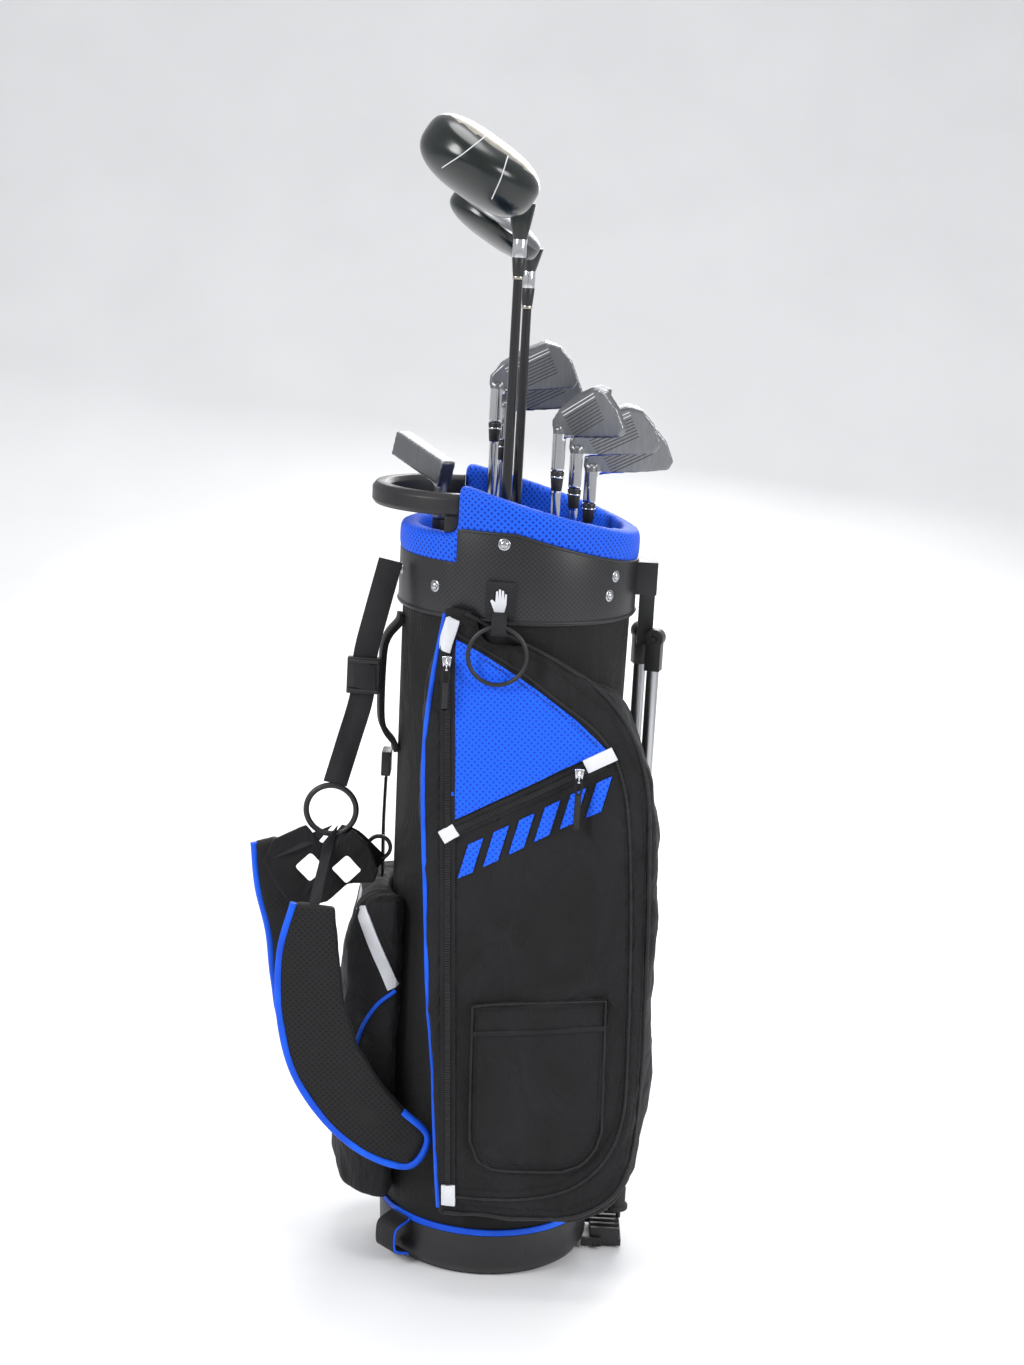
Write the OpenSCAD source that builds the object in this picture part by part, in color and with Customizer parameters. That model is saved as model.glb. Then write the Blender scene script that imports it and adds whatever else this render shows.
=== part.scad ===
// Stand golf bag holding eight clubs. Origin on the floor at the centre of the base,
// +Z up, +X towards the folding legs, -Y towards the large front pocket.

/* [Bag body] */
// Outer radius of the tube at the base
base_r = 112; // [105:1:118]
// Outer radius of the tube under the cuff
tube_top_r = 119; // [114:1:121]
// Wall of the tube
tube_wall = 2.5; // [2:0.5:4]
// Height at which the tube leaves the base cup
tube_low = 48; // [44:1:54]
// Height of the top of the tube
tube_high = 745; // [740:1:748]
// Outer radius of the moulded cuff
cuff_r = 123.5; // [122:0.5:124]
// Height of the rim's slanted top above the axis
rim_h = 824; // [820:1:828]
// Fall of the rim towards the legs, in degrees
rim_tilt = 15; // [13:1:16]

/* [Clubs] */
// Radius of a grip at its butt
grip_r = 13.5; // [12:0.5:13.5]
// Length of a grip
grip_len = 268; // [250:1:275]
// Radius of a shaft inside its grip
shaft_r = 6; // [5.5:0.5:6.5]
// Radius of a shaft at its tip
tip_r = 4.7; // [4.5:0.1:5]
// Height of every grip's butt end
butt_z = 12; // [10:1:14]

/* [Stand] */
// Height of the leg hinges
leg_pivot_z = 680; // [676:1:684]
// Length of a leg below its hinge
leg_len = 612; // [560:1:620]
// Radius of a leg tube
leg_r = 6.5; // [5.5:0.5:6.5]

/* [Soft goods] */
// Depth of the front pocket in front of the axis
pocket_y = 165; // [155:1:170]
// Thickness of a shoulder pad
pad_t = 16; // [12:1:18]
// Width of the strap webbing
web_w = 25; // [20:1:26]

/* [Hidden] */
$fn = 48;
floor_t = 4;                     // base cup floor
sole_t = 3;                      // rubber sole
cuff_low = 705;
cuff_top = 795;
cuff_drop = 29;                  // cuff's top edge below the rim
cuff_notch_z = 762;
lean = 3;                        // the pocket's front leans back
pad_in_r = 104;
notch_x = -62;                   // the rim steps down here for the lift handle
notch_z = 790;
handle_z = 806;
handle_t = 22;
far = 600;                       // larger than anything that is cut away
gap = 0.4;                       // air between a soft skin and the tube

// name, shaft x, shaft y, height of the hosel mouth
DRIVER = [-16, -80, 1062];
FAIRWAY = [-6, 26, 1030];
IRON_4 = [-33, 56, 888];
IRON_5 = [-24, 86, 866];
IRON_6 = [34, -48, 852];
IRON_7 = [53, -14, 831];
IRON_8 = [70, 26, 812];
PUTTER = [-84, -30, 794];

leg_front_at = [146, -14, leg_pivot_z];
leg_rear_at = [134, 22, leg_pivot_z];
rod_x = 150;
hub_w = 16;
foot_axis = [125, 1, 7];         // pin of the rocking foot
foot_ear = 4;
splay = 15;                      // each leg swings this much sideways
pin_r = 2.5;

// ---- shared shapes ----
module ring(outer, inner, h) {
  difference() {
    cylinder(h = h, r = outer);
    translate([0, 0, -1]) cylinder(h = h + 2, r = inner);
  }
}

// the tube as a solid, grown by "extra"
module tube_solid(extra) {
  slope = (tube_top_r - base_r) / (tube_high - tube_low);
  bottom = base_r + extra - slope * tube_low;
  cylinder(h = far + 400, r1 = bottom, r2 = bottom + slope * (far + 400));
}

// everything above the rim's slanted plane, lowered by "drop"
module above_rim(drop) {
  translate([0, 0, rim_h - drop]) rotate([0, rim_tilt, 0])
    translate([-far / 2, -far / 2, 0]) cube([far, far, far]);
}

// points of a band of width w along the points of path
function unit(v) = v / norm(v);
function side_of(path, i) = let (
    a = path[max(i - 1, 0)],
    b = path[min(i + 1, len(path) - 1)],
    d = unit(b - a)) [-d[1], d[0]];
function band(path, w) = concat(
  [for (i = [0:len(path) - 1]) path[i] + side_of(path, i) * w[i] / 2],
  [for (i = [len(path) - 1:-1:0]) path[i] - side_of(path, i) * w[i] / 2]);

// an outline drawn in X and Z, thick along Y from y0 to y1
module slab(points, y0, y1) {
  translate([0, y1, 0]) rotate([90, 0, 0]) linear_extrude(y1 - y0) polygon(points);
}

// ---- bag body ----
module base_sole() {
  color("black") cylinder(h = sole_t, r = 104);
}

module base_cup() {
  color("#17181a") rotate_extrude() polygon([
    [0, sole_t], [base_r - 4, sole_t], [base_r + 1, 12], [base_r + 3, tube_low],
    [base_r, tube_low], [base_r, 44], [base_r - 4, 44], [base_r - 6, 14],
    [base_r - 10, sole_t + floor_t], [0, sole_t + floor_t]]);
  // two ears that hold the rocking foot's pin
  color("#17181a") for (s = [-1, 1]) difference() {
    translate([base_r - 3, foot_axis[1] + s * 30 - foot_ear / 2, sole_t])
      cube([foot_axis[0] - base_r + 9, foot_ear, 10]);
    foot_pin_along(pin_r + 1.56, 80);
    translate([0, 0, sole_t]) rotate_extrude() polygon([
      [0, 0], [base_r - 4, 0], [base_r + 1, 12 - sole_t], [0, 12 - sole_t]]);
  }
}

module tube_shell() {
  color("#1b1c1f") difference() {
    intersection() {
      tube_solid(0);
      translate([0, 0, tube_low]) cylinder(h = tube_high - tube_low, r = 200);
    }
    tube_solid(-tube_wall);
  }
}

module base_piping() {
  color("#0a4be0") difference() {
    translate([0, 0, tube_low]) cylinder(h = 7, r = base_r + 3);
    tube_solid(0);
  }
}

module stay_rods() {
  color("silver") for (a = [30, 135, 250])
    rotate([0, 0, a]) translate([base_r - 14, 0, sole_t + floor_t])
      cylinder(h = 690, r = 3);
}

// the space that the cuff takes, outside radius r_in
module cuff_zone(r_in, r_out) {
  difference() {
    translate([0, 0, cuff_low]) cylinder(h = cuff_top - cuff_low, r = r_out);
    tube_solid(0);
    translate([0, 0, tube_high]) cylinder(h = 60, r = r_in);
    above_rim(cuff_drop);
    translate([notch_x - far, -far / 2, cuff_notch_z]) cube([far, far, far]);
  }
}

module top_cuff() {
  color("#141517") cuff_zone(tube_top_r - 3, cuff_r);
}

module rim_pad() {
  color("#1257e6") difference() {
    translate([0, 0, tube_high]) cylinder(h = 130, r = cuff_r + 1);
    translate([0, 0, tube_high - 1]) cylinder(h = 140, r = pad_in_r);
    above_rim(0);
    translate([notch_x - far, -far / 2, notch_z]) cube([far, far, far]);
    cuff_zone(tube_top_r - 3, cuff_r + 5);
  }
}

module divider_bars(t, z0, z1, reach) {
  intersection() {
    translate([0, 0, z0]) cylinder(h = z1 - z0, r = reach);
    union() {
      translate([-far / 2, 6 - t / 2, z0]) cube([far, t, z1 - z0]);
      translate([14 - t / 2, -far / 2, z0]) cube([t, far, z1 - z0]);
    }
  }
}

module divider_cross() {
  color("#202226") divider_bars(8, 745, 775, pad_in_r);
}

module divider_curtains() {
  color("#2b2d31") divider_bars(2, 60, 745, 106);
}

module lift_handle() {
  color("#111214") translate([notch_x + 2, 0, handle_z]) difference() {
    rotate_extrude() translate([77, 0]) polygon([
      [3, 0], [15, 0], [18, 4], [18, handle_t - 5], [14, handle_t], [4, handle_t],
      [0, handle_t - 5], [0, 4]]);
    translate([-2, -far / 2, -1]) cube([far, far, handle_t + 2]);
  }
  // two lugs down to the notched rim
  color("#111214") for (s = [-1, 1])
    translate([notch_x - 14, s * 90 - 4, notch_z]) cube([14, 8, handle_z - notch_z]);
}

// angle about the axis and height of each rivet
RIVETS = [[-97, 785], [-37, 752], [-165, 742], [-132, 735], [-41, 733], [70, 742], [120, 742]];
module cuff_rivets() {
  color("#c8cacc") for (p = RIVETS)
    rotate([0, 0, p[0]]) translate([cuff_r, 0, p[1]])
      rotate([0, 90, 0]) cylinder(h = 2.5, r1 = 6, r2 = 4);
}

ring_at = [-16, -138, 705];      // top of the towel ring's wire
ring_big_r = 29;
ring_wire = 2.2;
module glove_tab() {
  color("#18191b") {
    translate([-26, -cuff_r - 3, 712]) cube([32, 2.5, 32]);
    // sewn loop that carries the towel ring
    difference() {
      translate([-24, ring_at[1] - 7, 696]) cube([16, 18.6, 18]);
      translate([-25, ring_at[1] - 4.5, 699]) cube([18, 11, 12]);
    }
  }
}

module towel_ring() {
  color("#101113") translate(ring_at - [0, 0, ring_big_r]) rotate([90, 0, 0])
    rotate_extrude() translate([ring_big_r, 0]) circle(r = ring_wire);
}

// ---- pockets ----
POCKET = [
  [-72, 722], [-92, 600], [-90, 560], [-80, 430], [-48, 84], [40, 80], [90, 84],
  [133, 101], [160, 140], [169, 212], [166, 330], [161, 465], [148, 560], [108, 637],
  [50, 676], [-14, 706], [-44, 722]];

// places its children on the pocket's leaning front: X across, Z up, -Y outwards
module on_front() {
  translate([0, -pocket_y, 0]) rotate([-lean, 0, 0]) children();
}

module front_pocket() {
  color("#141417") difference() {
    intersection() {
      slab(POCKET, -pocket_y - 10, -30);
      linear_extrude(far + 400) polygon([
        [-98, -60], [-92, -118], [-80, -150], [-60, -172], [130, -172], [150, -150],
        [166, -120], [172, -84], [169, -60], [158, -48], [100, -40], [0, -40]]);
      on_front() translate([-far / 2, 0, -100]) cube([far, far, far + 400]);
    }
    tube_solid(gap);
    translate([0, 0, cuff_low - 1]) cylinder(h = 100, r = cuff_r + gap);
    // room for the glove tab and the towel ring's loop
    translate([-30, -cuff_r - 25, 690]) cube([42, 60, 70]);
  }
}

module patch_pocket() {
  color("#17171a") on_front() slab([
    [-23, 323], [117, 336], [121, 190], [104, 156], [80, 143], [10, 143], [-12, 152],
    [-20, 176]], -4, 0);
}

module ball_pocket() {
  color("#141417") difference() {
    intersection() {
      translate([0, 0, 58]) linear_extrude(345) polygon([
        [-100, -84], [-134, -80], [-158, -58], [-170, -20], [-170, 20], [-156, 56],
        [-128, 78], [-90, 90]]);
      slab([
        [-90, 62], [-150, 70], [-168, 90], [-176, 130], [-172, 300], [-150, 392],
        [-130, 402], [-90, 402]], -100, 100);
    }
    tube_solid(gap);
    translate([-90, -120, 0]) cube([far, far, far + 400]);
  }
}

// ---- zippers: ends of each run on the pocket's front, X and Z ----
LONG_ZIP = [[-66, 678], [-37, 124]];
SHORT_ZIP = [[-60, 491], [96, 573]];
tape_w = 14;
tape_t = 2;

module zipper_tapes() {
  color("#0c0c0e") on_front() {
    slab(band(LONG_ZIP, [tape_w, tape_w]), -tape_t, 0);
    slab(band(SHORT_ZIP, [tape_w, tape_w]), -tape_t, 0);
  }
}

// slider body with its hanging pull
module zip_slider(at, pull) {
  color("#b9bcc0") on_front() translate([at[0], -tape_t - gap, at[1]]) {
    translate([-5, -4, -8]) cube([10, 4, 16]);
    translate([-2, -6, -4]) cube([4, 2, 8]);
    translate([-4, -8, -pull]) cube([8, 2, pull]);
  }
}

module long_zip_slider() {
  zip_slider([-65.4, 666], 48);
}

module short_zip_slider() {
  zip_slider([72, 560.4], 56);
}

// ---- folding stand ----
module stand_bracket() {
  color("#121315") {
    // block screwed to the cuff
    difference() {
      translate([110, -22, 726]) cube([34, 56, 34]);
      cylinder(h = far + 400, r = cuff_r);
    }
    // hanging arm between the legs, with a slanted hinge pin on each side
    translate([128, 0, 670]) cube([16, 8, 58]);
    translate(leg_front_at) rotate([90, 0, -splay]) translate([0, 0, -18])
      cylinder(h = 30, r = pin_r);
    translate(leg_rear_at) rotate([-90, 0, splay]) translate([0, 0, -18])
      cylinder(h = 30, r = pin_r);
    translate([140, 0, 674]) cube([12, 8, 12]);
  }
}

// hub of one leg, bored for its hinge pin
module leg_hub(at, turn) {
  color("#1a1b1d") translate(at) rotate([0, 0, turn]) difference() {
    union() {
      translate([0, hub_w / 2, 0]) rotate([90, 0, 0]) cylinder(h = hub_w, r = 10);
      translate([-leg_r - 1.5, -hub_w / 2, -34]) cube([2 * leg_r + 3, hub_w, 32]);
    }
    translate([0, 30, 0]) rotate([90, 0, 0]) cylinder(h = 60, r = pin_r + 0.06);
    translate([0, 0, -40]) cylinder(h = 28, r = leg_r);
  }
}

module leg_tube(at) {
  color("#c9ccd0") translate([at[0], at[1], leg_pivot_z - leg_len])
    cylinder(h = leg_len - 12, r = leg_r);
}

module leg_foot(at) {
  color("#0f1012") translate([at[0], at[1], leg_pivot_z - leg_len - 26]) {
    cylinder(h = 26, r = leg_r + 3);
    cylinder(h = 6, r = leg_r + 6);
  }
}

// the rod runs beside the legs from the rocking foot up to the hubs' level
module push_rod() {
  color("#0d0e10") translate([rod_x, 4, 23]) cylinder(h = 626, r = 2.5);
}

module foot_pin_along(r, length) {
  translate([foot_axis[0], foot_axis[1] + length / 2, foot_axis[2]]) rotate([90, 0, 0])
    cylinder(h = length, r = r);
}

// rocking foot at the edge of the base; it rises as the legs swing out
module stand_foot() {
  color("#101113") difference() {
    union() {
      translate([119, -24, 2]) cube([34, 50, 8]);
      for (i = [0:4]) translate([119, -24 + i * 11.5, 2]) cube([32, 4, 20]);
    }
    translate([0, 0, -1]) cylinder(h = 60, r = base_r + 7);
    foot_pin_along(pin_r + 1.5, 60);
  }
  color("#101113") foot_pin_along(pin_r + 1.5, 62);
}

// ---- straps on the spine side ----
module strap_webbing() {
  color("#0e0f11") {
    // cuff to buckle, buckle to ring
    slab(band([[-130, 752], [-142, 700], [-152, 652]], [web_w, web_w, web_w]), -51, -47);
    slab(band([[-154, 609], [-166, 560], [-176, 518]], [web_w, web_w, web_w]), -51, -47);
    // spine webbing down to the side pocket
    slab(band([[-128, 514], [-128, 460], [-127, 412]], [4, 4, 4]), -web_w / 2, web_w / 2);
  }
}

module strap_hardware() {
  color("#1c1d20") {
    // tri-glide buckle
    translate([-170, -54, 612]) cube([34, 10, 38]);
    // clip and D-ring on the spine
    translate([-133, -14, 516]) cube([10, 28, 26]);
    translate([-131, -18, 440]) rotate([90, 0, 0]) ring(14, 10, 5);
  }
}

strap_ring_at = [-181, -49, 486];
module strap_ring() {
  color("#0f1012") translate(strap_ring_at) rotate([90, 0, 0])
    rotate_extrude() translate([26, 0]) circle(r = 3);
}

// fabric yoke that joins the ring to both pads, with two windows
module strap_yoke() {
  color("#131416") difference() {
    slab([[-206, 470], [-240, 452], [-250, 428], [-222, 384], [-204, 380], [-180, 388],
      [-160, 408], [-132, 412], [-128, 424], [-140, 452], [-158, 468], [-172, 452],
      [-190, 452]], -58, -53);
    for (x = [-200, -162]) translate([x, -50, 424]) rotate([90, 45, 0])
      translate([-11, -11, 0]) cube([22, 22, 12]);
  }
}

// a flat padded strap along a path in X and Z
module pad(path, widths, y0) {
  color("#101114") slab(band(path, widths), y0, y0 + pad_t);
}

module shoulder_pad_front() {
  pad([[-190, 402], [-193, 350], [-188, 290], [-172, 235], [-142, 190], [-106, 158],
    [-70, 140]], [44, 62, 70, 74, 72, 64, 40], -118);
}

module shoulder_pad_rear() {
  pad([[-250, 448], [-236, 404], [-216, 356], [-206, 300], [-198, 250]],
    [26, 44, 58, 62, 50], -48);
}

module spine_handle() {
  color("#121315") rotate([0, 0, 190]) translate([tube_top_r + 1, 0, 0]) difference() {
    translate([-3, -13, 545]) cube([24, 26, 150]);
    translate([-5, -14, 567]) cube([17, 28, 106]);
    translate([-tube_top_r - 1, 0, 0]) tube_solid(gap);
  }
}

module grab_loop() {
  color("#17181b") rotate([0, 0, 222]) translate([base_r + 3.5, 0, 0]) difference() {
    translate([-2, -15, 8]) cube([24, 30, 46]);
    translate([-4, -16, 17]) cube([20, 32, 28]);
    translate([-base_r - 3.5, 0, 0]) cylinder(h = 100, r = base_r + 3.4);
  }
}

// ---- clubs: every shaft is upright in the bag, head up ----
module club_grip(c) {
  color("#151515") translate([c[0], c[1], butt_z]) difference() {
    cylinder(h = grip_len, r1 = grip_r, r2 = 9.5);
    translate([0, 0, 4]) cylinder(h = grip_len, r = shaft_r);
  }
}

module club_shaft(c, tint) {
  low = butt_z + 4;
  color(tint) translate([c[0], c[1], low]) {
    cylinder(h = grip_len, r = shaft_r);
    translate([0, 0, grip_len])
      cylinder(h = c[2] - low - grip_len - 22, r1 = shaft_r, r2 = tip_r);
    // ferrule under the hosel's mouth
    translate([0, 0, c[2] - low - 22]) cylinder(h = 22, r1 = tip_r, r2 = 6.8);
  }
}

// frame of a head: local X from heel to toe, Z towards the sole, -Y out of the face
module head_frame(c, turn, lie, rise) {
  translate([c[0], c[1], c[2] + rise]) rotate([0, 0, turn]) rotate([0, lie - 90, 0])
    children();
}

module hosel(c, h) {
  translate([c[0], c[1], c[2]]) cylinder(h = h, r = 6.8);
}

// a wood: its face is in front of the shaft by face_in, towards +Y once turned by 180 degrees
module wood_head(c, rise, len, tall, deep, sole_up) {
  face_in = 10;
  r = tall / 2;
  $fn = 32;
  hosel(c, rise + 8);
  head_frame(c, 180, 58, rise) translate([0, 0, sole_up]) hull() {
    translate([r - 6, r - face_in, 0]) sphere(r = r);
    translate([len - r, r - face_in, 0]) sphere(r = r);
    translate([len / 2, deep - face_in - r * 0.82, 3]) sphere(r = r * 0.82);
  }
}

module driver_head() {
  color("#1b2224") wood_head(DRIVER, 42, 124, 68, 106, 13);
}

module fairway_head() {
  color("#9ea0a3") wood_head(FAIRWAY, 30, 104, 38, 84, 7);
}

// blade outline: X heel to toe, Z towards the sole
BLADE = [
  [-6, -8], [-7, 4], [-2, 12], [14, 18], [44, 21], [66, 19], [78, 8], [82, -10],
  [80, -32], [72, -38], [58, -33], [10, -13]];
module iron_head(c, turn, rise) {
  color("#8e9195") {
    hosel(c, rise + 2);
    head_frame(c, turn, 62, rise) rotate([12, 0, 0]) {
      slab(BLADE, -3, 5);
      // heavier sole behind the face
      slab([[2, 11], [14, 18], [44, 21], [66, 19], [76, 9], [70, 2], [6, 0]], 4.9, 13);
    }
  }
}

module putter_head() {
  color("#a5a7aa") {
    hosel(PUTTER, 40);
    translate([PUTTER[0], PUTTER[1], PUTTER[2] + 44]) rotate([0, 0, 130])
      rotate([0, -16, 0]) translate([-8, -9, -7]) cube([84, 18, 26]);
  }
}

base_sole();
base_cup();
tube_shell();
base_piping();
stay_rods();
top_cuff();
rim_pad();
divider_cross();
divider_curtains();
lift_handle();
cuff_rivets();
glove_tab();
front_pocket();
patch_pocket();
ball_pocket();
zipper_tapes();
long_zip_slider();
short_zip_slider();
stand_bracket();
leg_tube(leg_front_at);  // leg_front
leg_tube(leg_rear_at);  // leg_rear
leg_hub(leg_front_at, -splay);  // leg_front_hub
leg_hub(leg_rear_at, splay);  // leg_rear_hub
leg_foot(leg_front_at);  // leg_front_foot
leg_foot(leg_rear_at);  // leg_rear_foot
push_rod();
stand_foot();
strap_webbing();
strap_hardware();
strap_ring();
strap_yoke();
shoulder_pad_front();
shoulder_pad_rear();
spine_handle();
grab_loop();
towel_ring();
driver_head();
club_shaft(DRIVER, "#101010");  // driver_shaft
club_grip(DRIVER);  // driver_grip
fairway_head();
club_shaft(FAIRWAY, "#101010");  // fairway_shaft
club_grip(FAIRWAY);  // fairway_grip
iron_head(IRON_4, 0, 39);  // iron_4_head
club_shaft(IRON_4, "#b8babd");  // iron_4_shaft
club_grip(IRON_4);  // iron_4_grip
iron_head(IRON_5, 0, 39);  // iron_5_head
club_shaft(IRON_5, "#b8babd");  // iron_5_shaft
club_grip(IRON_5);  // iron_5_grip
iron_head(IRON_6, -48, 42);  // iron_6_head
club_shaft(IRON_6, "#b8babd");  // iron_6_shaft
club_grip(IRON_6);  // iron_6_grip
iron_head(IRON_7, -6, 41);  // iron_7_head
club_shaft(IRON_7, "#b8babd");  // iron_7_shaft
club_grip(IRON_7);  // iron_7_grip
iron_head(IRON_8, 0, 38);  // iron_8_head
club_shaft(IRON_8, "#b8babd");  // iron_8_shaft
club_grip(IRON_8);  // iron_8_grip
putter_head();
club_shaft(PUTTER, "#b8babd");  // putter_shaft
club_grip(PUTTER);  // putter_grip
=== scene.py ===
# %% [markdown]
# # A stand golf bag and its clubs
# The imported model is a fixed frame: every piece made here goes where that frame says. The
# frame is loaded first, and its nodes are kept.

# %% Load the frame
import bpy
import math
from mathutils import Matrix, Vector
from mathutils.bvhtree import BVHTree


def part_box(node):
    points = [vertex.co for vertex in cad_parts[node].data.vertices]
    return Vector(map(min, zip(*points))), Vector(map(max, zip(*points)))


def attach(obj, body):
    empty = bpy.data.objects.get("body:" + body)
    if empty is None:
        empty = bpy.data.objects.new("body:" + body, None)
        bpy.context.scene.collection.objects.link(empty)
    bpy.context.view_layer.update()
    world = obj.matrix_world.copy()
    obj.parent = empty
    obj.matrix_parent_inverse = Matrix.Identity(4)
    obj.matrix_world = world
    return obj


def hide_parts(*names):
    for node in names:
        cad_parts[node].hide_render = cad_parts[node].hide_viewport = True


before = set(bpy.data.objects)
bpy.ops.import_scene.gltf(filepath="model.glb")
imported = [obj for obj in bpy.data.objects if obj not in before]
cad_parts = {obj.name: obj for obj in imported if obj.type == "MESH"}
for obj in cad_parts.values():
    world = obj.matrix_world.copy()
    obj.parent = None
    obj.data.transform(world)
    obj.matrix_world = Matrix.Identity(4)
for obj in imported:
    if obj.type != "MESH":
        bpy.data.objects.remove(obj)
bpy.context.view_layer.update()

# %% [markdown]
# A camera can be placed by eye or by numbers. Numbers are kept here, because the bag stands
# upright while the picture of it leans a little: a small roll about the view axis does that.

# %% Camera
CAMERA_PLACE, CAMERA_LENS = (0, -2.3, 1.102), 58.9
CAMERA_DIP, CAMERA_ROLL = 11.8, 3.18
camera_data = bpy.data.cameras.new("studio_camera")
camera_data.lens = CAMERA_LENS
camera = bpy.data.objects.new("studio_camera", camera_data)
bpy.context.collection.objects.link(camera)
camera.matrix_world = (Matrix.Translation(CAMERA_PLACE)
                       @ Matrix.Rotation(math.radians(90 - CAMERA_DIP), 4, "X")
                       @ Matrix.Rotation(math.radians(CAMERA_ROLL), 4, "Z"))
bpy.context.scene.camera = camera
print("camera stands", -CAMERA_PLACE[1], "m in front of the bag")

# %% [markdown]
# Soft studio light comes from large area lamps. One on each side shapes the round tube, one
# above brings out the rim, one behind rims the edges, and a pale world fills the shadows. The
# lamps themselves are hidden from the camera.

# %% Lights and floor
LAMP_AIM = Vector((0, 0, 0.6))
def lamp(name, place, size, power):
    data = bpy.data.lights.new(name, "AREA")
    data.shape, data.size, data.energy = "DISK", size, power
    item = bpy.data.objects.new(name, data)
    bpy.context.collection.objects.link(item)
    aim = LAMP_AIM - Vector(place)
    item.matrix_world = Matrix.Translation(place) @ aim.to_track_quat("-Z", "Y").to_matrix().to_4x4()
    item.visible_camera = False

lamp("lamp_left", (-2.2, -1.8, 2.2), 1.2, 62)
lamp("lamp_right", (2.4, -1.6, 1.7), 1.2, 46)
lamp("lamp_top", (0.2, 0.3, 3.2), 1.8, 45)
lamp("lamp_back", (0.4, 2.6, 1.8), 1.6, 40)
world = bpy.context.scene.world or bpy.data.worlds.new("pale_room")
bpy.context.scene.world = world
world.use_nodes = True
world.node_tree.nodes["Background"].inputs["Color"].default_value = (0.93, 0.94, 0.96, 1)
world.node_tree.nodes["Background"].inputs["Strength"].default_value = 0.62
bpy.context.scene.view_settings.view_transform = "Standard"

# %% [markdown]
# Finishes are built from nodes. One helper makes a Principled shader and passes a height into a
# bump, because cloth, embossed plastic and brushed steel differ mostly in that height pattern.

# %% Material helpers
def finish_named(name, colour, rough, metal=0.0, coat=0.0, sheen=0.0, alpha=1.0):
    material = bpy.data.materials.new(name)
    material.use_nodes = True
    shader = material.node_tree.nodes["Principled BSDF"]
    shader.inputs["Base Color"].default_value = (*colour, 1)
    shader.inputs["Roughness"].default_value = rough
    shader.inputs["Metallic"].default_value = metal
    shader.inputs["Coat Weight"].default_value = coat
    shader.inputs["Sheen Weight"].default_value = sheen
    shader.inputs["Alpha"].default_value = alpha
    return material

def node(material, kind, **settings):
    made = material.node_tree.nodes.new(kind)
    for key, value in settings.items():
        if hasattr(made, key):
            setattr(made, key, value)
        else:
            made.inputs[key.replace("_", " ")].default_value = value
    return made

def join(material, a, a_out, b, b_in):
    material.node_tree.links.new(a.outputs[a_out], b.inputs[b_in])

def place_of(material, scale=(1, 1, 1), turn=(0, 0, 0)):
    coordinates = node(material, "ShaderNodeTexCoord")
    mapping = node(material, "ShaderNodeMapping")
    mapping.inputs["Scale"].default_value = scale
    mapping.inputs["Rotation"].default_value = turn
    join(material, coordinates, "Object", mapping, "Vector")
    return mapping

def add_bump(material, height, output, strength, distance):
    bump = node(material, "ShaderNodeBump", Strength=strength, Distance=distance)
    join(material, height, output, bump, "Height")
    shader = material.node_tree.nodes["Principled BSDF"]
    join(material, bump, "Normal", shader, "Normal")
    return bump

def tint(material, source, output, dark, light, low=0.3, high=0.7, socket="Base Color"):
    ramp = node(material, "ShaderNodeValToRGB")
    ramp.color_ramp.elements[0].position = low
    ramp.color_ramp.elements[1].position = high
    ramp.color_ramp.elements[0].color = (*dark, 1)
    ramp.color_ramp.elements[1].color = (*light, 1)
    join(material, source, output, ramp, "Fac")
    shader = material.node_tree.nodes["Principled BSDF"]
    join(material, ramp, "Color", shader, socket)

def summed(material, a, a_out, b, b_out, share):
    mixer = node(material, "ShaderNodeMath", operation="MULTIPLY_ADD")
    join(material, b, b_out, mixer, 0)
    mixer.inputs[1].default_value = share
    join(material, a, a_out, mixer, 2)
    return mixer

# %% [markdown]
# A pattern knitted or pressed into a band that runs round the bag has to run round it too. The
# angle about the bag's axis, times the band's radius, gives one coordinate. Height less radius
# gives the other, which still changes on a flat rim. The number of cells round is whole, so the
# pattern meets itself, and a turn of 45 degrees stands its squares on their corners.

# %% Patterns that run round the bag
MESH_CELL = 0.0045
CELLS_ROUND = 113
def place_around(material, cell=MESH_CELL, cells_round=CELLS_ROUND):
    coordinates = node(material, "ShaderNodeTexCoord")
    parts = node(material, "ShaderNodeSeparateXYZ")
    join(material, coordinates, "Object", parts, "Vector")
    angle = node(material, "ShaderNodeMath", operation="ARCTAN2")
    join(material, parts, "Y", angle, 0)
    join(material, parts, "X", angle, 1)
    arc = node(material, "ShaderNodeMath", operation="MULTIPLY")
    join(material, angle, 0, arc, 0)
    arc.inputs[1].default_value = cells_round * cell * math.sqrt(2) / (2 * math.pi)
    flat = node(material, "ShaderNodeVectorMath", operation="MULTIPLY")
    join(material, coordinates, "Object", flat, 0)
    flat.inputs[1].default_value = (1, 1, 0)
    radius = node(material, "ShaderNodeVectorMath", operation="LENGTH")
    join(material, flat, "Vector", radius, 0)
    height = node(material, "ShaderNodeMath", operation="SUBTRACT")
    join(material, parts, "Z", height, 0)
    join(material, radius, "Value", height, 1)
    unrolled = node(material, "ShaderNodeCombineXYZ")
    join(material, arc, 0, unrolled, "X")
    join(material, height, 0, unrolled, "Y")
    mapping = node(material, "ShaderNodeMapping")
    mapping.inputs["Rotation"].default_value = (0, 0, math.radians(45))
    join(material, unrolled, "Vector", mapping, "Vector")
    return mapping
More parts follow.
